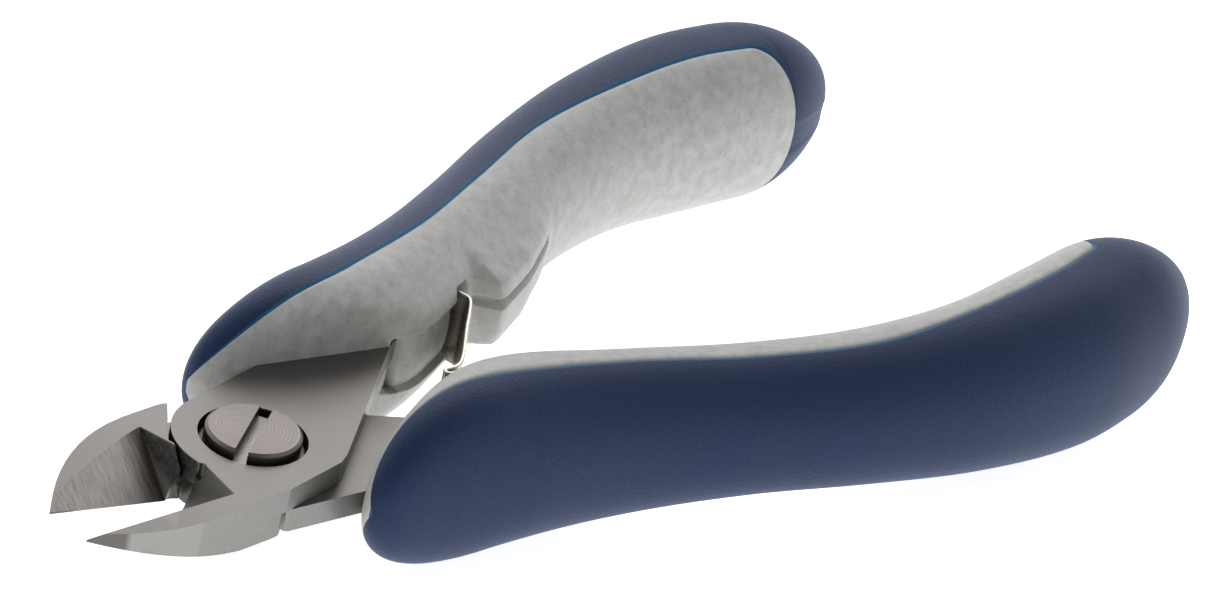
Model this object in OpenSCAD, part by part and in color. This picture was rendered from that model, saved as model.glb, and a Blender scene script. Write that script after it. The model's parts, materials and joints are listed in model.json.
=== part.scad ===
// Diagonal cutting pliers: a lap-jointed pair of steel halves on a slotted
// pivot screw, two-tone moulded handles and a leaf return spring.
// +X runs from the jaws towards the handles, +Z is up along the pivot screw.
// The tool lies on its handles at z = 0, with its box centred on the Z axis.

/* [Head] */
// Thickness of the head, both laps together
head_t = 5.2; // [4.6:0.1:6]
// Radius of the round lap around the pivot
lap_r = 8.1; // [7.8:0.1:8.4]
// Gap between the two laps
lap_gap = 0.04; // [0.02:0.01:0.1]
// Half of the angle between the open jaws
half_open = 6.4; // [5:0.1:8]

/* [Jaws] */
// Distance from the pivot to the jaw tips
tip_r = 23.7; // [20:0.1:28]
// Distance from the pivot to the inner end of the cutting edges
edge_start_r = 9.9; // [9.5:0.1:11]
// Widest point of each jaw, measured from the centre line
jaw_w = 8.95; // [8.5:0.05:9.5]
// Thickness left at the jaw tips
tip_t = 0.5; // [0.3:0.1:1.2]

/* [Pivot screw] */
// Radius of the counterbore in the upper half
counterbore_r = 5.5; // [5:0.1:6]
// Radius of the screw head
screw_head_r = 4.85; // [4.4:0.05:5.2]
// Radius of the screw's shank
shank_r = 3.5; // [3:0.1:3.8]
// Height of the screw head above the upper lap
screw_proud = 0.85; // [0.3:0.05:1.2]
// Width of the driver slot
slot_w = 1.35; // [1:0.05:1.6]

/* [Handles] */
// Distance from the pivot to the rear end of the handles
handle_end_x = 118.3; // [110:0.1:125]
// Distance from the pivot to the front of the handles
handle_start_x = 3.8; // [3:0.1:5]
// Squareness of the handle's cross-section, where 2 is an ellipse
section_power = 2.15; // [2:0.05:3]
// Height above and below the middle plane at which the grips are flattened
grip_flat_z = 10.2; // [9.5:0.1:11]

/* [Spring] */
// Thickness of the spring strip
spring_t = 0.4; // [0.3:0.05:0.5]
// Width of the spring strip, standing on edge
spring_w = 8.4; // [6:0.2:9]

/* [Hidden] */
$fn = 96;

cut = 0.5;
lap_t = head_t / 2;
clearance = 0.32;
oval_start_x = -10;
// The frame's origin is below the middle of the whole tool
frame_shift = [-(handle_end_x - tip_r) / 2, 0, grip_flat_z];

// Handle stations: distance back from the pivot, offset of the centre line,
// half width, half height, and where the soft grip starts over the top, in
// degrees around the section from its outer side
STATIONS = [
    [  2, 13.8, 4.6, 10.4, 142],
    [ 12, 12.0, 5.6, 10.1, 108],
    [ 24, 11.5, 7.7,  9.8,  89],
    [ 38, 15.3, 7.0,  8.8,  89],
    [ 52, 20.2, 6.9,  8.1,  87],
    [ 66, 25.0, 7.3,  8.4,  88],
    [ 80, 28.1, 8.1,  9.4,  98],
    [ 94, 28.8, 9.1, 10.5, 102],
    [106, 27.7, 8.9, 10.5, 107],
    [113, 27.3, 8.2, 10.2, 108],
    [119, 27.3, 7.6, 10.0, 108]];
// Behind this distance the parting line turns down round the rear end
rear_turn_x = 102;
rear_turn = 4.1;
front_round = 15.5;
rear_round = 15.8;
rings = 34;
body_rings = 28;
ring_half = 12;

// Front wall of the handle in plan, where the steel comes out
wall_a = [9.4, 9.6];
wall_b = [24.6, 5.6];
wall_slope = (wall_a[1] - wall_b[1]) / (wall_b[0] - wall_a[0]);

function clamp(v, low, high) = min(max(v, low), high);
function lerp(a, b, t) = a + (b - a) * t;

// Smooth curve through column c of the stations at distance x
function seg(x, i = 0) =
    i >= len(STATIONS) - 2 || x < STATIONS[i + 1][0] ? i : seg(x, i + 1);
function slope(c, i) =
    let (a = STATIONS[max(i - 1, 0)], b = STATIONS[min(i + 1, len(STATIONS) - 1)])
    (b[c] - a[c]) / (b[0] - a[0]);
function station(c, x) =
    let (i = seg(x), a = STATIONS[i], b = STATIONS[i + 1], w = b[0] - a[0],
         t = (x - a[0]) / w, t2 = t * t, t3 = t2 * t)
    (2 * t3 - 3 * t2 + 1) * a[c] + (t3 - 2 * t2 + t) * w * slope(c, i)
    + (3 * t2 - 2 * t3) * b[c] + (t3 - t2) * w * slope(c, i + 1);

// Rounding of the handle's two ends, 0 at an end and 1 along the middle
function end_cap(x) =
    let (f = clamp((x - handle_start_x) / front_round, 0, 1),
         r = clamp((handle_end_x - x) / rear_round, 0, 1))
    sqrt(max((1 - pow(1 - f, 2)) * (1 - pow(1 - r, 2)), 0.0004));

// Rounded-square coordinate of an angle
function round_cos(a) = sign(cos(a)) * pow(abs(cos(a)), 2 / section_power);
function round_sin(a) = sign(sin(a)) * pow(abs(sin(a)), 2 / section_power);

// Outward direction of the handle in plan
function outward(x) =
    let (d = (station(1, x + 0.1) - station(1, x - 0.1)) / 0.2, l = sqrt(1 + d * d))
    [-d / l, 1 / l];

// Offset and height of the section's surface at an angle, kept behind the front wall
function rim(x, a) =
    let (n = outward(x),
         least = (wall_a[1] - wall_slope * (x - wall_a[0]) - station(1, x))
                 / (n[1] + wall_slope * n[0]))
    [max(end_cap(x) * station(2, x) * round_cos(a), least),
     clamp(end_cap(x) * station(3, x) * round_sin(a), -grip_flat_z, grip_flat_z)];
function place(x, p) =
    let (n = outward(x)) [x + n[0] * p[0], station(1, x) + n[1] * p[0], p[1]];

// Angle from the outer side that the soft grip reaches
function reach(x) =
    let (t = clamp((x - rear_turn_x) / rear_turn, 0, 1))
    min(station(4, x) + 66 * (1 - sqrt(1 - t * t)), 172);

// One ring of the soft grip (outer = true) or of the hard body (outer = false):
// an arc of the section, closed by the straight parting line inside the handle
function ring(x, outer) =
    let (over_top = reach(x),
         start = outer ? -over_top : over_top,
         span = outer ? 2 * over_top : 360 - 2 * over_top,
         arc = [for (i = [0 : 2 * ring_half]) rim(x, start + span * i / (2 * ring_half))],
         a = arc[2 * ring_half], b = arc[0],
         chord = [for (i = [1 : 3]) lerp(a, b, i / 4)])
    [for (p = concat(arc, chord)) place(x, p)];

function ring_x(i) =
    lerp(handle_start_x, handle_end_x, (1 - cos(180 * (0.03 + 0.94 * i / (rings - 1)))) / 2);

// Closed skin over all the rings; the hard body stops short of the rear end
module loft(outer) {
    count = outer ? rings : body_rings;
    sections = [for (i = [0 : count - 1]) ring(ring_x(i), outer)];
    n = len(sections[0]);
    middles = [for (s = [sections[0], sections[count - 1]]) (s[0] + s[n - 1] + 2 * s[ring_half]) / 4];
    points = concat([for (s = sections) each s], middles);
    skin = [for (i = [0 : count - 2]) for (j = [0 : n - 1])
        let (a = i * n + j, b = i * n + (j + 1) % n)
        each [[a, b + n, b], [a, a + n, b + n]]];
    rear = (count - 1) * n;
    first = [for (j = [0 : n - 1]) [j, (j + 1) % n, count * n]];
    last = [for (j = [0 : n - 1]) [rear + (j + 1) % n, rear + j, count * n + 1]];
    polyhedron(points, concat(skin, first, last), convexity = 8);
}

// Lap of the upper half in plan: round nose, near jaw root and tang
module lap_outline() {
    circle(lap_r);
    polygon([[-4.8, -jaw_w], [-3.4, -jaw_w], [4.6, -7.85], [6.1, -7.1], [24.6, 5.6], [36, 11.2], [58, 20.4],
             [57, 24], [35, 16], [20, 11.6], [9.4, 9.6], [-1.1, lap_r - 0.05]]);
}

// Near jaw in plan, with the cutting edge on the line from the pivot and the
// outer side drawn in along a curve from its widest part to the tip
module jaw_outline() {
    tip = [-tip_r * cos(half_open), -tip_r * sin(half_open)];
    edge = [for (r = [edge_start_r, 4]) [-r * cos(half_open), -r * sin(half_open)]];
    oval = [for (u = [0 : 0.1 : 0.91])
        [lerp(oval_start_x, tip[0], u), lerp(-jaw_w, tip[1], pow(u, 2.2))]];
    polygon(concat([tip], edge, [[-2, -4], [-3.3, -8.3], [-3.5, -8.65], [-4, -8.88],
        [-4.8, -jaw_w]], oval));
}

// Side profile of the jaw, extruded across it: the back is curved down and
// the flat cutting side rises straight towards the tip
module jaw_profile() {
    tip_x = -tip_r - 1;
    start_x = -9;
    back = [for (u = [1 : -0.125 : 0])
        [lerp(start_x, tip_x, u), lerp(lap_t, tip_t / 2, pow(u, 1.35))]];
    rotate([90, 0, 0]) linear_extrude(40, center = true)
        polygon(concat([[0, -lap_t], [start_x, -lap_t], [tip_x, -tip_t / 2]], back,
                       [[0, lap_t]]));
}

// Trough ground into the jaw: a bevel down to the cutting edge and a rear flank
module trough() {
    heel = [-edge_start_r * cos(half_open), -edge_start_r * sin(half_open), -lap_t + 0.12];
    tip = [-tip_r * cos(half_open), -tip_r * sin(half_open), -tip_t / 2 + 0.05];
    corner = [-8.95, -6.75, lap_t];
    top_back = [-6.4, 1.2, lap_t + 2.4];
    along = (tip - heel) * 1.25;
    start = heel - (tip - heel) * 0.02;
    high = heel + (corner - heel) * 1.6;
    base = [start, high, top_back];
    points = concat(base, [for (p = base) p + along]);
    polyhedron(points, [[0, 1, 2], [5, 4, 3], [3, 4, 1, 0], [4, 5, 2, 1], [5, 3, 0, 2]]);
}

// Room that the other half's round lap needs, with the straight shoulder
module lap_room() {
    circle(lap_r + clearance);
    polygon([[-3.35, -jaw_w - 1], [-3.35, -jaw_w + 0.1], [-8, -3.55], [-6, 6], [20, 6],
             [20, -jaw_w - 1]]);
}

// Round relief at the throat, where the cutting edges end
module throat() {
    translate([-9.1, 0, -lap_t - cut]) cylinder(r = 1.25, h = head_t + 2 * cut);
}

// Near jaw at full thickness, with room for the other half's lap above or
// below the middle plane
module jaw(room_above) {
    difference() {
        intersection() {
            translate([0, 0, -lap_t]) linear_extrude(head_t) jaw_outline();
            jaw_profile();
        }
        trough();
        throat();
        translate([0, 0, room_above ? -lap_gap / 2 : -lap_t - cut])
            linear_extrude(lap_t + cut + lap_gap / 2) lap_room();
    }
}

// Upper steel half: near jaw, upper lap and tang into the far handle
module upper_half() {
    seat_z = lap_t - 1.4;
    color("darkgray") translate(frame_shift) difference() {
        union() {
            jaw(false);
            translate([0, 0, lap_gap / 2]) linear_extrude(lap_t - lap_gap / 2) lap_outline();
        }
        translate([0, 0, -cut]) cylinder(r = shank_r + 0.05, h = lap_t + 2 * cut);
        translate([0, 0, seat_z]) cylinder(r = counterbore_r, h = lap_t);
        // Small round notch where the lap's nose meets the jaw
        translate([-8.15, -1.45, lap_t - 1.6]) cylinder(r = 0.42, h = lap_t);
    }
}

// Lower steel half: the jaws mirror each other, and so do the laps in plan
module lower_half() {
    color("gray") translate(frame_shift) difference() {
        union() {
            mirror([0, 1, 0]) jaw(true);
            translate([0, 0, -lap_t]) linear_extrude(lap_t - lap_gap / 2) {
                mirror([0, 1]) lap_outline();
                // The outer edge is a little wider than the upper half's
                polygon([[-2.95, -7.3], [-2.9, -8.5], [-2.5, -8.85], [2, -9.5], [6.9, -10.2],
                         [12, -10.7], [20, -11.4], [12, -6], [0, -5]]);
            }
        }
        translate([0, 0, -lap_t - cut]) cylinder(r = shank_r, h = lap_t + 2 * cut);
    }
}

// Slotted screw, screwed into the lower half and turning in the upper one
module pivot_screw() {
    head_z = lap_t - 1.4 + 0.32;
    top_z = lap_t + screw_proud;
    chamfer = 0.3;
    color("lightgray") translate(frame_shift) difference() {
        rotate_extrude() polygon([[0, -lap_t], [shank_r - 0.4, -lap_t], [shank_r, -lap_t + 0.4],
            [shank_r, head_z], [screw_head_r, head_z], [screw_head_r, top_z - chamfer],
            [screw_head_r - chamfer, top_z], [0, top_z]]);
        rotate([0, 0, 31]) translate([-counterbore_r, -slot_w / 2, top_z - 1.4])
            cube([2 * counterbore_r, slot_w, 2]);
    }
}

// Thin washer under the screw head
module bearing_washer() {
    color("silver") translate(frame_shift + [0, 0, lap_t - 1.4 + 0.02]) difference() {
        cylinder(r = counterbore_r - 0.25, h = 0.28);
        translate([0, 0, -cut]) cylinder(r = shank_r + 0.06, h = 0.3 + 2 * cut);
    }
}

// Stop pad on the inner side of the handle, behind the spring pocket
module stop_pad() {
    translate([0, 0, -3.4]) linear_extrude(9.6) polygon([[38.6, 11.5], [38.6, 6.6], [39.3, 5.7],
        [40.3, 5.6], [47, 8.6], [56, 14.2], [60.5, 19], [50, 20.5], [42, 17.5]]);
}

// Hard handle body in the far handle's place
module handle_body() {
    difference() {
        union() {
            loft(false);
            stop_pad();
        }
        // Spring pocket in front of the stop pad
        translate([36.4, 4, -spring_w / 2 - 0.3]) rotate([0, 0, 8]) cube([1.9, 9, spring_w + 0.6]);
        // Narrow slot in the front wall
        translate([24.9, 3, -3.2]) cube([0.8, 5, 6]);
        // Groove along the stop pad
        translate([38, 3, 1.9]) rotate([0, 0, 27]) cube([22, 4.2, 1.1]);
    }
}

module far_handle_body() {
    color([0.72, 0.73, 0.73]) translate(frame_shift) handle_body();
}

module near_handle_body() {
    color([0.72, 0.73, 0.73]) translate(frame_shift) rotate([180, 0, 0]) handle_body();
}

module far_soft_grip() {
    color([0.16, 0.21, 0.38]) translate(frame_shift) loft(true);
}

module near_soft_grip() {
    color([0.16, 0.21, 0.38]) translate(frame_shift) rotate([180, 0, 0]) loft(true);
}

// Middle line of the spring in plan, from the pocket in the far handle to a
// foot that is folded back along the near one
SPRING_PATH = [[36.7, 10.5], [37.3, 8.4], [37.3, 6.8], [35.4, 4.97], [33, 3], [30.8, 1.1],
               [29.05, -0.4], [27.4, -1.65], [26.2, -2.15], [25.3, -2.1], [24.7, -2.05],
               [24.35, -2.4], [24.65, -2.85], [25.4, -2.95], [26.4, -3.05], [27.6, -3.35],
               [28.6, -3.7]];

// Point on one side of the spring's middle line
function spring_side(i, side) =
    let (p = SPRING_PATH, d = p[min(i + 1, len(p) - 1)] - p[max(i - 1, 0)])
    p[i] + side * spring_t / 2 * [-d[1], d[0]] / norm(d);

module leaf_spring() {
    last = len(SPRING_PATH) - 1;
    color("dimgray") translate(frame_shift + [0, 0, -spring_w / 2]) linear_extrude(spring_w)
        polygon(concat([for (i = [0 : last]) spring_side(i, 1)],
                       [for (i = [last : -1 : 0]) spring_side(i, -1)]));
}

upper_half();
lower_half();
pivot_screw();
bearing_washer();
far_handle_body();
near_handle_body();
far_soft_grip();
near_soft_grip();
leaf_spring();
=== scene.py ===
"""Diagonal cutting pliers: two-tone handles, ground steel head, slotted pivot and leaf spring.

Lengths are in metres. Handle shapes are worked out in millimetres measured from the pivot:
x runs back towards the handles, y is outward and z is up from the middle plane.
"""
import json
import math

import bpy
import numpy as np
from mathutils import Matrix, Vector


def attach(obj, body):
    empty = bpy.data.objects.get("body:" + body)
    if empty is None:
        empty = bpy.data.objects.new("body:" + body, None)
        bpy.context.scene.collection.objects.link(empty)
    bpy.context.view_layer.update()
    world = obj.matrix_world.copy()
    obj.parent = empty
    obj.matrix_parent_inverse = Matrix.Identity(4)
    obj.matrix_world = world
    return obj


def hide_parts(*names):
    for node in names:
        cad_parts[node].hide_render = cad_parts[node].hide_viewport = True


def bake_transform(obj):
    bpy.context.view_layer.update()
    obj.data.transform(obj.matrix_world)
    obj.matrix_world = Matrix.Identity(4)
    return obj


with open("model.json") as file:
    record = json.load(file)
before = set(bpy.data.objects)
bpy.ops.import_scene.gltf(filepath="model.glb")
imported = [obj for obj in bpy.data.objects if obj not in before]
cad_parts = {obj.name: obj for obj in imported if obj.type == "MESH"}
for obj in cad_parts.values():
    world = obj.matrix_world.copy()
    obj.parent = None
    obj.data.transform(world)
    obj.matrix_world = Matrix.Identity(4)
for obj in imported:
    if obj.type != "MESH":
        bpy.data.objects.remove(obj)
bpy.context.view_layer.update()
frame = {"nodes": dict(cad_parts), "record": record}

MM = 0.001
PIVOT = Vector(frame["record"]["behaviour"]["joints"][0]["pos_m"])

# Handle stations: distance back from the pivot, offset of the centre line, half width,
# half height, and how far round from the outer side the soft grip reaches, in degrees.
STATIONS = np.array([
    [2, 13.8, 4.6, 10.4, 142],
    [12, 12.0, 5.6, 10.1, 108],
    [24, 11.5, 7.7, 9.8, 89],
    [38, 15.3, 7.0, 8.8, 89],
    [52, 20.2, 6.9, 8.1, 87],
    [66, 25.0, 7.3, 8.4, 88],
    [80, 28.1, 8.1, 9.4, 98],
    [94, 28.8, 9.1, 10.5, 102],
    [106, 27.7, 8.9, 10.5, 107],
    [113, 27.3, 8.2, 10.2, 108],
    [119, 27.3, 7.6, 10.0, 108]])
START_X, END_X = 3.8, 118.3
# Behind REAR_TURN_X the soft grip closes round the rear end: over the length REAR_TURN
# its reach grows by REAR_TURN_ANGLE, up to FULL_REACH, both in degrees
REAR_TURN_X, REAR_TURN = 102.0, 4.1
REAR_TURN_ANGLE, FULL_REACH = 66.0, 172.0
BODY_END_X = 106.08
# Lengths over which the two ends are rounded
FRONT_ROUND, REAR_ROUND = 15.5, 15.8
# Sections are a little squarer than an ellipse, which has power 2
SECTION_POWER = 2.15
# Heights are held under LIMIT_Z, and the higher LIMIT_POWER, the flatter the top
LIMIT_Z, LIMIT_POWER = 10.9, 14
# The front wall, in plan, is the line from WALL_A to WALL_B
WALL_A, WALL_B = (9.4, 9.6), (24.6, 5.6)
WALL_SLOPE = (WALL_A[1] - WALL_B[1]) / (WALL_B[0] - WALL_A[0])
WALL_BLEND = 0.5

# Hollows in the hard body's inner side: depth, then the start, the end and the softness of
# those edges, first along the handle and then in height
CHANNEL = (0.8, (24.8, 38.5, 0.4), (-3.1, 3.3, 0.35))
SLOT = (3.0, (25.75, 26.75, 0.14), (-3.2, 2.8, 0.2))
POCKET = (5.0, (36.8, 38.9, 0.4), (-4.5, 4.6, 0.4))
GROOVE = (1.6, (38.6, 55, 1.0), (1.5, 2.4, 0.35))
# The stop pad rises by these amounts at these distances along the handle
PAD_X = [38.4, 40.5, 47, 53, 58]
PAD_RISE = [2.6, 3.0, 2.7, 1.5, 0.0]

# The two mouldings dip by about EDGE_DIP along the parting line, and its blue line fades over
# SEAM_WIDTH; MEAN_RADIUS turns an angle round the section into a distance
EDGE_DIP, EDGE_DIP_WIDTH = 0.16, 0.22
SEAM_WIDTH = 0.5
MEAN_RADIUS = 8.5
CHORD_POINTS = 6


# ---------------------------------------------------------------- handle shape

def cubic(t, start, end, start_slope, end_slope):
    """Cubic curve from start to end, for t from 0 to 1."""
    t2, t3 = t * t, t * t * t
    return ((2 * t3 - 3 * t2 + 1) * start + (t3 - 2 * t2 + t) * start_slope
            + (3 * t2 - 2 * t3) * end + (t3 - t2) * end_slope)


def column(c, x):
    """Smooth curve through one column of the stations."""
    xs, ys = STATIONS[:, 0], STATIONS[:, c]
    i = np.clip(np.searchsorted(xs, x, side="right") - 1, 0, len(xs) - 2)
    at = np.arange(len(xs))
    low, high = np.maximum(at - 1, 0), np.minimum(at + 1, len(xs) - 1)
    slopes = (ys[high] - ys[low]) / (xs[high] - xs[low])
    w = xs[i + 1] - xs[i]
    return cubic((x - xs[i]) / w, ys[i], ys[i + 1], w * slopes[i], w * slopes[i + 1])


def reach(x):
    """Angle from the outer side that the soft grip reaches, in degrees."""
    t = min(max((x - REAR_TURN_X) / REAR_TURN, 0), 1)
    return min(column(4, x) + REAR_TURN_ANGLE * (1 - math.sqrt(1 - t * t)), FULL_REACH)


def end_cap(x):
    """Share of the full section that is left at x, falling to nearly 0 at both ends."""
    front = np.clip((x - START_X) / FRONT_ROUND, 0, 1)
    rear = np.clip((END_X - x) / REAR_ROUND, 0, 1)
    return np.sqrt(np.maximum((1 - (1 - front) ** 2) * (1 - (1 - rear) ** 2), 1e-6))


def soft_max(a, b, width):
    """The larger of a and b, with the corner between them rounded."""
    return 0.5 * (a + b + np.sqrt((a - b) ** 2 + width ** 2))


def smooth(edge, value, width):
    """0 below the edge and 1 above it, with a smooth step of the given width."""
    t = np.clip((value - edge) / width + 0.5, 0, 1)
    return t * t * (3 - 2 * t)


def between(low, high, value, width):
    """1 from low to high and 0 outside, with smooth steps of the given width."""
    return smooth(low, value, width) * (1 - smooth(high, value, width))


def rounded(c):
    """Cosine or sine of the squarer section."""
    return np.sign(c) * np.abs(c) ** (2 / SECTION_POWER)


def outward(x):
    """Unit vector in plan, square to the centre line and pointing outwards."""
    d = (column(1, x + 0.1) - column(1, x - 0.1)) / 0.2
    length = np.sqrt(1 + d * d)
    return -d / length, 1 / length


def rim(x, degrees):
    """Offset and height of the section's surface, kept behind the front wall."""
    a = np.radians(degrees)
    cap = end_cap(x)
    nx, ny = outward(x)
    least = (WALL_A[1] - WALL_SLOPE * (x - WALL_A[0]) - column(1, x)) / (ny + WALL_SLOPE * nx)
    offset = soft_max(cap * column(2, x) * rounded(np.cos(a)), least, WALL_BLEND)
    height = cap * column(3, x) * rounded(np.sin(a))
    # Eased off towards the flats that the handles rest on
    return offset, height * (1 + np.abs(height / LIMIT_Z) ** LIMIT_POWER) ** (-1 / LIMIT_POWER)


def sunk(hollow, x, b):
    """Depth of one of the hollows at distance x and height b."""
    depth, (front, rear, soft_x), (low, high, soft_b) = hollow
    return depth * between(front, rear, x, soft_x) * between(low, high, b, soft_b)


def relief(x, b, plan_x):
    """How far the hard body's inner side is moved outwards, into the handle.

    x is the station of the section and plan_x the real distance of the surface.
    """
    rise = np.interp(x, PAD_X, PAD_RISE)
    pad_top = 5.6 - 0.05 * (x - 40)
    pad = rise * smooth(39.0, x, 1.5) * smooth(-3.6, b, 1.3) * (1 - smooth(pad_top, b, 3.4))
    plan_hollows = sum(sunk(hollow, plan_x, b) for hollow in (CHANNEL, SLOT, POCKET))
    return plan_hollows - pad + sunk(GROOVE, x, b)


def place(x, offset, height, side):
    """Points in metres from handle coordinates; side -1 turns the handle over."""
    nx, ny = outward(x)
    return np.stack([PIVOT.x + (x + nx * offset) * MM,
                     PIVOT.y + side * (column(1, x) + ny * offset) * MM,
                     PIVOT.z + side * height * MM], axis=-1)


def add_mesh(name, verts, faces, smooth_faces=True):
    """New object from vertices and faces, linked to the scene."""
    mesh = bpy.data.meshes.new(name)
    mesh.from_pydata([tuple(v) for v in verts], [], faces)
    mesh.validate()
    mesh.update()
    if smooth_faces:
        mesh.polygons.foreach_set("use_smooth", [True] * len(mesh.polygons))
    obj = bpy.data.objects.new(name, mesh)
    bpy.context.scene.collection.objects.link(obj)
    return obj


def skin(rows, columns):
    """Faces of a closed tube of rings, with both ends capped."""
    faces = []
    for i in range(rows - 1):
        for j in range(columns):
            a, b = i * columns + j, i * columns + (j + 1) % columns
            faces.append((a, b, b + columns, a + columns))
    faces.append(tuple(range(columns - 1, -1, -1)))
    faces.append(tuple((rows - 1) * columns + j for j in range(columns)))
    return faces


def set_attribute(obj, name, values):
    """One number per vertex, for the material to read."""
    layer = obj.data.attributes.new(name, "FLOAT", "POINT")
    layer.data.foreach_set("value", np.asarray(values, dtype=np.float32).ravel())


def end_spaced(count, low, high):
    """Distances that crowd towards both ends."""
    t = 0.01 + 0.98 * np.arange(count) / (count - 1)
    return low + (high - low) * (1 - np.cos(np.pi * t)) / 2


def edge_dip(distance):
    """Scale that dips a section at the given distance from the parting line."""
    return 1 - EDGE_DIP * np.exp(-(distance / EDGE_DIP_WIDTH) ** 2) / MEAN_RADIUS


def closed(values):
    """A section's values followed by those of its straight closing side."""
    chord = np.arange(1, CHORD_POINTS + 1) / (CHORD_POINTS + 1)
    return np.concatenate([values, values[-1] + (values[0] - values[-1]) * chord])


def soft_grip(name, side):
    """Navy outer shell. Its points crowd towards the parting line."""
    rear_turn = np.linspace(REAR_TURN_X, REAR_TURN_X + REAR_TURN + 0.2, 40)
    xs = np.sort(np.concatenate([end_spaced(230, START_X, END_X - 0.25), rear_turn]))
    arc = 150
    rows, seam = [], []
    for x in xs:
        limit = reach(x)
        t = np.linspace(-1, 1, arc)
        t = np.sign(t) * (1 - (1 - np.abs(t)) ** 1.15)
        a, b = rim(np.full(arc, x), limit * t)
        distance = (1 - np.abs(t)) * np.radians(limit) * MEAN_RADIUS
        dip = edge_dip(distance)
        a, b = closed(a * dip), closed(b * dip)
        rows.append(place(np.full(len(a), x), a, b, side))
        edge = np.exp(-(distance / SEAM_WIDTH) ** 2) * (x < BODY_END_X)
        seam.append(np.concatenate([edge, np.full(CHORD_POINTS, float(x < BODY_END_X))]))
    obj = add_mesh(name, np.concatenate(rows), skin(len(xs), arc + CHORD_POINTS))
    set_attribute(obj, "seam", np.concatenate(seam))
    return obj


def handle_body(name, side):
    """Hard inner part. Rings are close at the front end and round the slot and pocket."""
    front = START_X + 0.06 + (22 - START_X) * np.linspace(0, 1, 90) ** 1.7
    fine = np.arange(22.3, 41.2, 0.16)
    pad = np.arange(41.4, 60, 0.45)
    rear = np.concatenate([np.linspace(60.6, 101.5, 64), np.linspace(102, BODY_END_X, 44)])
    xs = np.concatenate([front, fine, pad, rear])
    arc = 190
    rows, shade = [], []
    for x in xs:
        limit = reach(x)
        t = np.linspace(-1, 1, arc)
        t = t * (0.72 + 0.28 * t * t)
        a, b = rim(np.full(arc, x), 180 + (180 - limit) * t)
        depth = relief(x, b, x + outward(x)[0] * a)
        dip = edge_dip((1 - np.abs(t)) * np.radians(180 - limit) * MEAN_RADIUS)
        a, b = closed(a * dip + depth), closed(b * dip)
        rows.append(place(np.full(len(a), x), a, b, side))
        # Painted shade for the deeper hollows: none at 1 mm deep, full from 1.7 mm, kept as the
        # hollow attribute
        dark = np.clip((depth - 1.0) / 0.7, 0, 1)
        shade.append(np.concatenate([dark, np.zeros(CHORD_POINTS)]))
    obj = add_mesh(name, np.concatenate(rows), skin(len(xs), arc + CHORD_POINTS))
    set_attribute(obj, "hollow", np.concatenate(shade))
    return obj


# ---------------------------------------------------------------- leaf spring

# Thickness, width and chamfer of the strip, and its middle line in plan, in millimetres
SPRING_T, SPRING_W, SPRING_CHAMFER = 0.4, 8.4, 0.09
SPRING_PATH = [(36.7, 10.5), (37.3, 8.4), (37.3, 6.8), (35.4, 4.97), (33, 3), (30.8, 1.1),
               (29.05, -0.4), (27.4, -1.65), (26.2, -2.15), (25.3, -2.1), (24.7, -2.05),
               (24.35, -2.4), (24.65, -2.85), (25.4, -2.95), (26.4, -3.05), (27.6, -3.35),
               (28.6, -3.7)]


def spring_piece(name):
    """A rolled strip on edge, along a smooth line through the path's points."""
    path = np.array(SPRING_PATH, dtype=float)
    along = np.arange(len(path))
    fine = np.linspace(0, len(path) - 1, 160)
    low, high = np.maximum(along - 1, 0), np.minimum(along + 1, len(path) - 1)
    slopes = (path[high] - path[low]) / (high - low)[:, None]
    i = np.minimum(fine.astype(int), len(path) - 2)
    t = (fine - i)[:, None]
    line = cubic(t, path[i], path[i + 1], slopes[i], slopes[i + 1])
    d = np.gradient(line, axis=0)
    normal = np.stack([-d[:, 1], d[:, 0]], axis=1) / np.linalg.norm(d, axis=1)[:, None]
    half_t, half_w, chamfer = SPRING_T / 2, SPRING_W / 2, SPRING_CHAMFER
    outline = [(half_t, half_w - chamfer), (half_t - chamfer, half_w), (chamfer - half_t, half_w),
               (-half_t, half_w - chamfer), (-half_t, chamfer - half_w), (chamfer - half_t, -half_w),
               (half_t - chamfer, -half_w), (half_t, chamfer - half_w)]
    verts = []
    for p, n in zip(line, normal):
        for across, up in outline:
            q = p + n * across
            verts.append((PIVOT.x + q[0] * MM, PIVOT.y + q[1] * MM, PIVOT.z + up * MM))
    return add_mesh(name, verts, skin(len(line), len(outline)), smooth_faces=False)


# ---------------------------------------------------------------- materials

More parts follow.
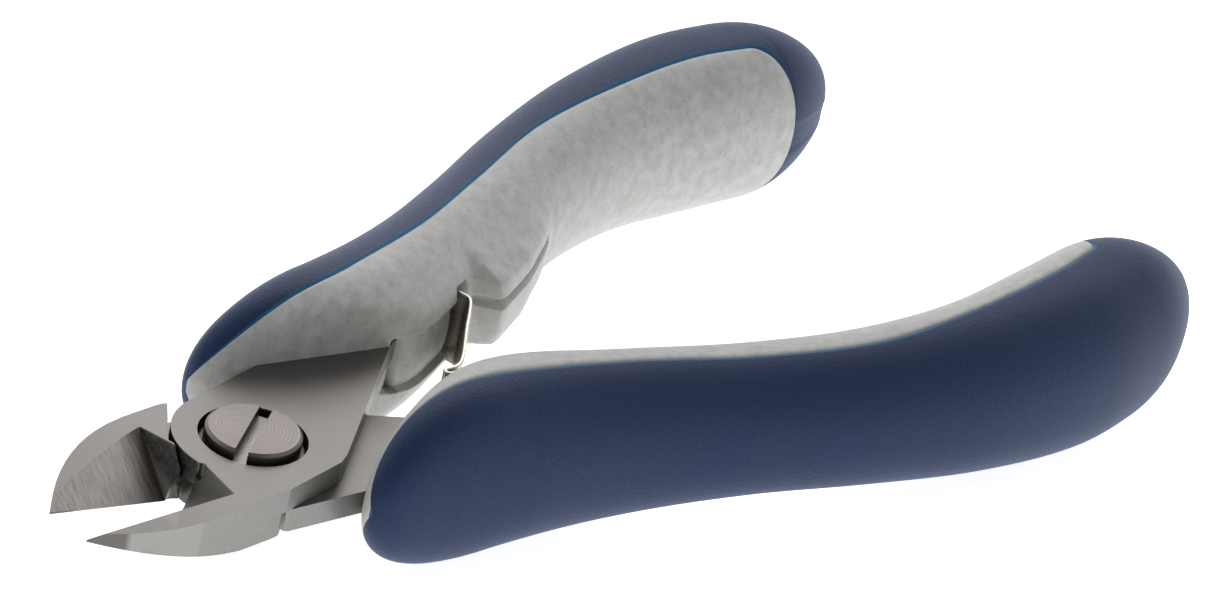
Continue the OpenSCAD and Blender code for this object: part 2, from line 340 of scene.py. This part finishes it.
class Nodes:
    """Short way to build a shader: add a node, link its sockets."""

    def __init__(self, name):
        self.material = bpy.data.materials.new(name)
        self.material.use_nodes = True
        self.tree = self.material.node_tree
        self.shader = self.tree.nodes["Principled BSDF"]

    def add(self, kind, inputs=None, **settings):
        node = self.tree.nodes.new(kind)
        for key, value in settings.items():
            setattr(node, key, value)
        for key, value in (inputs or {}).items():
            if isinstance(value, bpy.types.NodeSocket):
                self.tree.links.new(value, node.inputs[key])
            else:
                node.inputs[key].default_value = value
        return node

    def set(self, **values):
        for key, value in values.items():
            socket = self.shader.inputs[key.replace("_", " ")]
            if isinstance(value, bpy.types.NodeSocket):
                self.tree.links.new(value, socket)
            else:
                socket.default_value = value

    def place(self, scale=(1, 1, 1)):
        """Object coordinates, measured from the pivot, stretched by scale."""
        coords = self.add("ShaderNodeTexCoord").outputs["Object"]
        moved = self.add("ShaderNodeVectorMath", {0: coords, 1: tuple(PIVOT)}, operation="SUBTRACT")
        scaled = self.add("ShaderNodeVectorMath", {0: moved.outputs[0], 1: scale},
                          operation="MULTIPLY")
        return scaled.outputs[0]

    def noise(self, vector, scale, detail=3.0, rough=0.55):
        node = self.add("ShaderNodeTexNoise", {"Vector": vector, "Scale": scale, "Detail": detail,
                                               "Roughness": rough})
        return node.outputs["Fac"]

    def ramp(self, value, stops):
        node = self.add("ShaderNodeValToRGB", {"Fac": value})
        elements = node.color_ramp.elements
        while len(elements) < len(stops):
            elements.new(0.5)
        for element, (at, colour) in zip(elements, stops):
            element.position = at
            element.color = (*colour, 1)
        return node.outputs["Color"]

    def mix(self, factor, first, second, blend="MIX"):
        node = self.add("ShaderNodeMix", data_type="RGBA", blend_type=blend)
        for key, value in ((0, factor), (6, first), (7, second)):
            if isinstance(value, bpy.types.NodeSocket):
                self.tree.links.new(value, node.inputs[key])
            elif key:
                node.inputs[key].default_value = (*value, 1)
            else:
                node.inputs[key].default_value = value
        return node.outputs[2]

    def math(self, operation, first, second=0.0, clamp=False):
        node = self.add("ShaderNodeMath", {0: first, 1: second}, operation=operation,
                        use_clamp=clamp)
        return node.outputs[0]

    def range(self, value, low, high, to_low=0.0, to_high=1.0):
        node = self.add("ShaderNodeMapRange", {0: value, 1: low, 2: high, 3: to_low, 4: to_high})
        return node.outputs[0]

    def bump(self, height, distance, strength=1.0, normal=None):
        inputs = {"Height": height, "Distance": distance, "Strength": strength}
        if normal is not None:
            inputs["Normal"] = normal
        return self.add("ShaderNodeBump", inputs).outputs["Normal"]

    def attribute(self, name):
        return self.add("ShaderNodeAttribute", attribute_name=name).outputs["Fac"]

    def split(self, vector):
        return self.add("ShaderNodeSeparateXYZ", {0: vector}).outputs


def soft_grip_material():
    """Navy leather-grained rubber with a blue line at the parting line."""
    n = Nodes("soft_grip")
    place = n.place()
    grain = n.add("ShaderNodeTexVoronoi", {"Vector": place, "Scale": 3300.0, "Randomness": 1.0},
                  feature="SMOOTH_F1").outputs["Distance"]
    fine = n.noise(place, 3800.0, 2.0)
    wide = n.noise(place, 60.0, 3.0)
    colour = n.ramp(wide, [(0.3, (0.013, 0.030, 0.092)), (0.7, (0.016, 0.034, 0.105))])
    colour = n.mix(n.range(grain, 0.1, 0.6, 0.0, 0.40), colour, (0.009, 0.021, 0.068))
    seam = n.attribute("seam")
    colour = n.mix(n.range(seam, 0.2, 0.8), colour, (0.008, 0.13, 0.27))
    normal = n.bump(grain, 0.00005, 0.7)
    normal = n.bump(fine, 0.00002, 0.5, normal)
    n.set(Base_Color=colour, Roughness=n.range(fine, 0.3, 0.7, 0.5, 0.62), Normal=normal)
    n.set(Specular_IOR_Level=0.24, Sheen_Weight=0.22, Sheen_Roughness=0.45,
          Sheen_Tint=(0.62, 0.74, 1.0, 1.0))
    return n.material


def hard_plastic_material():
    """Mottled light grey plastic, with painted shade inside the deeper hollows."""
    n = Nodes("hard_plastic")
    place = n.place()
    cloud = n.noise(place, 640.0, 4.0, 0.62)
    flow = n.noise(n.place((0.45, 1, 1)), 230.0, 3.0, 0.6)
    speck = n.noise(place, 1900.0, 2.0, 0.6)
    colour = n.ramp(cloud, [(0.33, (0.475, 0.480, 0.458)), (0.50, (0.560, 0.565, 0.550)),
                            (0.66, (0.625, 0.630, 0.620))])
    colour = n.mix(n.range(flow, 0.4, 0.68, 0.0, 0.30), colour, (0.47, 0.470, 0.455))
    colour = n.mix(n.range(speck, 0.60, 0.74, 0.0, 0.34), colour, (0.26, 0.26, 0.265))
    colour = n.mix(n.range(speck, 0.28, 0.40, 0.16, 0.0), colour, (0.66, 0.67, 0.67))
    # Painted shade: the hollow attribute darkens the colour inside the deeper hollows
    hollow = n.attribute("hollow")
    colour = n.mix(n.math("MULTIPLY", hollow, 0.85), colour, (0.05, 0.045, 0.04))
    normal = n.bump(speck, 0.00003, 0.4)
    n.set(Base_Color=colour, Roughness=n.range(cloud, 0.3, 0.7, 0.42, 0.55), Normal=normal)
    n.set(Specular_IOR_Level=0.4)
    return n.material


def ground_steel_material():
    """Satin top, scratched bevels, lighter ground sides partly from painted light, and painted shade
    with a line of residue in the trough.
    """
    n = Nodes("ground_steel")
    place = n.place()
    x, y, z = n.split(place)[0:3]
    facing = n.split(n.add("ShaderNodeTexCoord").outputs["Normal"])
    up = n.math("ABSOLUTE", facing[2])
    across = n.math("ABSOLUTE", y)
    fine = n.noise(n.place((0.25, 1, 1)), 5200.0, 2.0)
    cross = n.noise(n.place((1, 0.22, 1)), 4300.0, 2.0)
    cloud = n.noise(place, 260.0, 3.0)
    top = n.ramp(cloud, [(0.3, (0.180, 0.168, 0.160)), (0.7, (0.198, 0.186, 0.178))])
    top = n.mix(n.range(fine, 0.3, 0.7, 0.0, 0.25), top, (0.148, 0.137, 0.131))
    side = n.ramp(cross, [(0.3, (0.265, 0.270, 0.255)), (0.7, (0.305, 0.308, 0.292))])
    # The outer sides of the jaws are ground in three steps towards the tip; the middle step is
    # painted lighter and the tip facet darker, painted light and shade for the way the facets face
    # the light
    step = n.math("MULTIPLY", n.range(x, -14.1 * MM, -14.4 * MM), n.range(up, 0.6, 0.4))
    side = n.mix(step, side, (0.320, 0.327, 0.308))
    side = n.mix(n.range(x, -20.4 * MM, -20.9 * MM), side, (0.150, 0.143, 0.134))
    # Faces turned up get the top colour and faces turned sideways the lighter side colour; the
    # sides' extra lightness is partly painted light
    colour = n.mix(n.range(up, 0.1, 0.5), side, top)
    # The bevels: their slope is neither flat nor upright, and they lie ahead of the pivot
    sloped = n.math("MULTIPLY", n.range(up, 0.60, 0.66), n.range(up, 0.92, 0.96, 1.0, 0.0))
    bevel = n.math("MULTIPLY", sloped, n.range(x, -8.9 * MM, -9.3 * MM))
    scratch = n.noise(n.place((1, 0.06, 0.06)), 9500.0, 3.0, 0.65)
    bands = n.noise(n.place((1, 0.03, 0.03)), 1500.0, 2.0)
    ground = n.ramp(scratch, [(0.32, (0.33, 0.305, 0.285)), (0.5, (0.52, 0.49, 0.465)),
                              (0.70, (0.66, 0.635, 0.61))])
    ground = n.mix(n.range(bands, 0.45, 0.65, 0.0, 0.30), ground, (0.38, 0.355, 0.335))
    # Painted shade darkening towards the valley, with a speckled line of residue in it
    valley = n.range(x, -12.6 * MM, -9.8 * MM)
    uneven = n.range(bands, 0.35, 0.65, 0.7, 1.1)
    valley_shade = n.math("MULTIPLY", n.math("MULTIPLY", valley, uneven), 0.86, clamp=True)
    ground = n.mix(valley_shade, ground, (0.055, 0.050, 0.043))
    specks = n.range(n.noise(place, 3200.0, 4.0, 0.7), 0.48, 0.60)
    line = n.math("MULTIPLY", n.range(x, -10.6 * MM, -9.9 * MM), specks)
    ground = n.mix(n.math("MULTIPLY", line, 0.8), ground, (0.16, 0.105, 0.055))
    colour = n.mix(bevel, colour, ground)
    # The dark flank behind the valley
    flank = n.math("MULTIPLY", n.range(x, -9.2 * MM, -8.9 * MM), n.range(x, -5.5 * MM, -5.8 * MM))
    flank = n.math("MULTIPLY", flank, n.range(up, 0.93, 0.88))
    flank = n.math("MULTIPLY", flank, n.range(z, 2.55 * MM, 2.45 * MM))
    flank = n.math("MULTIPLY", flank, n.range(across, 6.9 * MM, 6.6 * MM))
    flank = n.math("MULTIPLY", flank, n.range(y, -2.5 * MM, -0.5 * MM, 0.35, 1.0))
    rough = n.noise(place, 1800.0, 4.0, 0.7)
    murk = n.ramp(rough, [(0.35, (0.030, 0.029, 0.027)), (0.62, (0.115, 0.112, 0.104))])
    colour = n.mix(n.math("MULTIPLY", flank, 0.92), colour, murk)
    # The well round the screw is in deep shade
    radius = n.add("ShaderNodeVectorMath", {0: n.place((1, 1, 0))}, operation="LENGTH").outputs[1]
    well = n.math("MULTIPLY", n.range(radius, 5.62 * MM, 5.55 * MM), n.range(z, 2.58 * MM, 2.4 * MM))
    colour = n.mix(well, colour, (0.028, 0.027, 0.026))
    normal = n.bump(fine, 0.000012, 0.35)
    normal = n.bump(n.math("MULTIPLY", scratch, bevel), 0.00003, 0.5, normal)
    n.set(Base_Color=colour, Normal=normal)
    n.set(Roughness=n.range(cloud, 0.3, 0.7, 0.34, 0.40), Metallic=0.85)
    n.set(Specular_IOR_Level=0.3)
    return n.material


def screw_material():
    """Turned face with rings, a dark side and a lighter slot floor."""
    n = Nodes("screw_steel")
    place = n.place()
    z = n.split(place)[2]
    flat = n.place((1, 1, 0))
    radius = n.add("ShaderNodeVectorMath", {0: flat}, operation="LENGTH").outputs[1]
    # The turning marks run round a point a little off the screw's axis
    mark = n.add("ShaderNodeVectorMath", {0: flat, 1: (-0.0006, 0.0009, 0)}, operation="SUBTRACT")
    turn = n.add("ShaderNodeVectorMath", {0: mark.outputs[0]}, operation="LENGTH").outputs[1]
    wobble = n.noise(place, 500.0, 2.0)
    phase = n.math("ADD", n.math("MULTIPLY", turn, 17000.0), n.math("MULTIPLY", wobble, 2.4))
    rings = n.math("SINE", phase)
    broad = n.noise(n.add("ShaderNodeCombineXYZ", {0: turn}).outputs[0], 2100.0, 3.0)
    colour = n.ramp(broad, [(0.3, (0.165, 0.145, 0.136)), (0.5, (0.215, 0.192, 0.182)),
                            (0.7, (0.270, 0.248, 0.238))])
    colour = n.mix(n.range(rings, -1.0, 1.0, 0.0, 0.32), colour, (0.12, 0.108, 0.100))
    side = n.range(z, 3.25 * MM, 3.1 * MM)
    colour = n.mix(side, colour, (0.10, 0.095, 0.09))
    slot_floor = n.math("MULTIPLY", n.range(z, 2.3 * MM, 2.1 * MM), n.range(z, 1.9 * MM, 2.0 * MM))
    near_axis = n.range(radius, 4.8 * MM, 4.7 * MM)
    colour = n.mix(n.math("MULTIPLY", slot_floor, near_axis), colour, (0.27, 0.25, 0.225))
    normal = n.bump(rings, 0.000012, 0.5)
    normal = n.bump(broad, 0.00002, 0.5, normal)
    n.set(Base_Color=colour, Roughness=n.range(broad, 0.3, 0.7, 0.30, 0.42), Normal=normal)
    n.set(Metallic=0.85)
    return n.material


def plain_steel_material(name, dark, light, rough):
    n = Nodes(name)
    streak = n.noise(n.place((0.5, 0.5, 1)), 3000.0, 3.0)
    colour = n.ramp(streak, [(0.3, dark), (0.7, light)])
    n.set(Base_Color=colour, Roughness=n.range(streak, 0.3, 0.7, rough, rough + 0.12))
    n.set(Normal=n.bump(streak, 0.00001, 0.5), Metallic=0.85)
    return n.material


def floor_material():
    n = Nodes("pale_floor")
    cloud = n.noise(n.add("ShaderNodeTexCoord").outputs["Object"], 3.0, 2.0)
    n.set(Base_Color=n.ramp(cloud, [(0.3, (0.90, 0.90, 0.90)), (0.7, (0.92, 0.92, 0.92))]))
    n.set(Roughness=0.85, Specular_IOR_Level=0.1)
    n.set(Emission_Color=(1.0, 1.0, 1.0, 1.0), Emission_Strength=0.85)
    return n.material


def give(obj, material):
    obj.data.materials.clear()
    obj.data.materials.append(material)


# ---------------------------------------------------------------- pieces

def finish_steel(name, material, bevel_mm):
    """A CAD node keeps its shape and gets softened edges."""
    obj = frame["nodes"][name]
    weld = obj.modifiers.new("weld", "WELD")
    weld.merge_threshold = 0.000002
    bevel = obj.modifiers.new("bevel", "BEVEL")
    bevel.width = bevel_mm * MM
    bevel.segments = 2
    bevel.limit_method = "ANGLE"
    bevel.angle_limit = math.radians(28)
    bevel.harden_normals = True
    bevel.use_clamp_overlap = True
    give(obj, material)


def build_pieces():
    grip, plastic = soft_grip_material(), hard_plastic_material()
    steel, turned = ground_steel_material(), screw_material()
    washer = plain_steel_material("washer_steel", (0.10, 0.10, 0.095), (0.2, 0.2, 0.19), 0.4)
    sprung = plain_steel_material("spring_steel", (0.40, 0.365, 0.315), (0.56, 0.53, 0.48), 0.16)
    for side, where, body in ((1, "far", "upper"), (-1, "near", "lower")):
        for build, kind, material, slot in ((soft_grip, "soft_grip", grip, "soft_grip"),
                                            (handle_body, "handle_body", plastic, "hard_plastic")):
            piece = build(f"{where}_{kind}_moulding", side)
            give(piece, material)
            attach(piece, body)
            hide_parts(f"{where}_{kind}")
    spring = spring_piece("leaf_spring_strip")
    give(spring, sprung)
    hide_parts("leaf_spring")
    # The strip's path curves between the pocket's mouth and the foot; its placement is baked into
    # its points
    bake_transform(spring)
    for name in ("upper_half", "lower_half"):
        finish_steel(name, steel, 0.09)
    finish_steel("pivot_screw", turned, 0.08)
    finish_steel("bearing_washer", washer, 0.03)


# ---------------------------------------------------------------- camera and light

CAMERA_LENS = 135.33
CAMERA_YAW, CAMERA_DROP, CAMERA_ROLL = (math.radians(a) for a in (53.64, 28.66, 13.23))
CAMERA_FROM_PIVOT = Vector((-288.05, -250.10, 233.50)) * MM


# Brightness of the sky from the horizon, at 0, to straight up, at 1
SKY_LEVELS = [(0.0, 1.0), (0.22, 0.92), (0.48, 0.68), (0.80, 0.44), (1.0, 0.40)]
SKY_STRENGTH = 1.05
# Brightness left on the side the photographer stands on
DARK_SIDE = 0.36
FLOOR_EDGE = 3.0


def make_camera():
    camera = bpy.data.objects.new("camera", bpy.data.cameras.new("camera"))
    camera.data.sensor_width = 36.0
    camera.data.sensor_fit = "HORIZONTAL"
    camera.data.lens = CAMERA_LENS
    camera.data.clip_start = 0.01
    forward = Vector((math.sin(CAMERA_YAW) * math.cos(CAMERA_DROP),
                      math.cos(CAMERA_YAW) * math.cos(CAMERA_DROP), -math.sin(CAMERA_DROP)))
    right = Vector((math.cos(CAMERA_YAW), -math.sin(CAMERA_YAW), 0))
    up = right.cross(forward)
    c, s = math.cos(CAMERA_ROLL), math.sin(CAMERA_ROLL)
    turned_right = right * c + up * s
    turned_up = up * c - right * s
    rotation = Matrix((turned_right, turned_up, -forward)).transposed()
    camera.matrix_world = Matrix.Translation(PIVOT + CAMERA_FROM_PIVOT) @ rotation.to_4x4()
    bpy.context.scene.collection.objects.link(camera)
    bpy.context.scene.camera = camera


def add_light(name, position, target, size, power):
    light = bpy.data.lights.new(name, "AREA")
    light.shape = "RECTANGLE"
    light.size, light.size_y = size
    light.energy = power
    obj = bpy.data.objects.new(name, light)
    aim = (Vector(target) - Vector(position)).to_track_quat("-Z", "Y")
    obj.matrix_world = Matrix.Translation(position) @ aim.to_matrix().to_4x4()
    bpy.context.scene.collection.objects.link(obj)


def make_studio():
    """A pale, softly glowing table under a sky that is darker overhead."""
    world = bpy.data.worlds.new("studio")
    world.use_nodes = True
    tree = world.node_tree
    coords = tree.nodes.new("ShaderNodeTexCoord")
    split = tree.nodes.new("ShaderNodeSeparateXYZ")
    ramp = tree.nodes.new("ShaderNodeValToRGB")
    tree.links.new(coords.outputs["Generated"], split.inputs[0])
    tree.links.new(split.outputs["Z"], ramp.inputs["Fac"])
    # The side the photographer stands on is darker
    toward = tree.nodes.new("ShaderNodeVectorMath")
    toward.operation = "DOT_PRODUCT"
    toward.inputs[1].default_value = (-math.sin(CAMERA_YAW), -math.cos(CAMERA_YAW), 0)
    tree.links.new(coords.outputs["Generated"], toward.inputs[0])
    shade = tree.nodes.new("ShaderNodeMapRange")
    shade.interpolation_type = "SMOOTHSTEP"
    for key, value in ((1, -0.1), (2, 0.75), (3, 1.0), (4, DARK_SIDE)):
        shade.inputs[key].default_value = value
    tree.links.new(toward.outputs["Value"], shade.inputs[0])
    dim = tree.nodes.new("ShaderNodeVectorMath")
    dim.operation = "SCALE"
    tree.links.new(ramp.outputs["Color"], dim.inputs[0])
    tree.links.new(shade.outputs[0], dim.inputs["Scale"])
    tree.links.new(dim.outputs[0], tree.nodes["Background"].inputs["Color"])
    while len(ramp.color_ramp.elements) < len(SKY_LEVELS):
        ramp.color_ramp.elements.new(0.5)
    for element, (at, level) in zip(ramp.color_ramp.elements, SKY_LEVELS):
        element.position = at
        element.color = (level, level, level, 1)
    tree.nodes["Background"].inputs["Strength"].default_value = SKY_STRENGTH
    bpy.context.scene.world = world
    add_light("back_soft", (0.25, 0.40, 0.42), (0.0, 0, 0), (0.55, 0.40), 1.3)
    corners = [(x * FLOOR_EDGE, y * FLOOR_EDGE, 0) for x, y in ((-1, -1), (1, -1), (1, 1), (-1, 1))]
    floor = add_mesh("floor", corners, [(0, 1, 2, 3)], smooth_faces=False)
    give(floor, floor_material())
    bpy.context.scene.view_settings.view_transform = "Standard"


make_camera()
make_studio()
build_pieces()
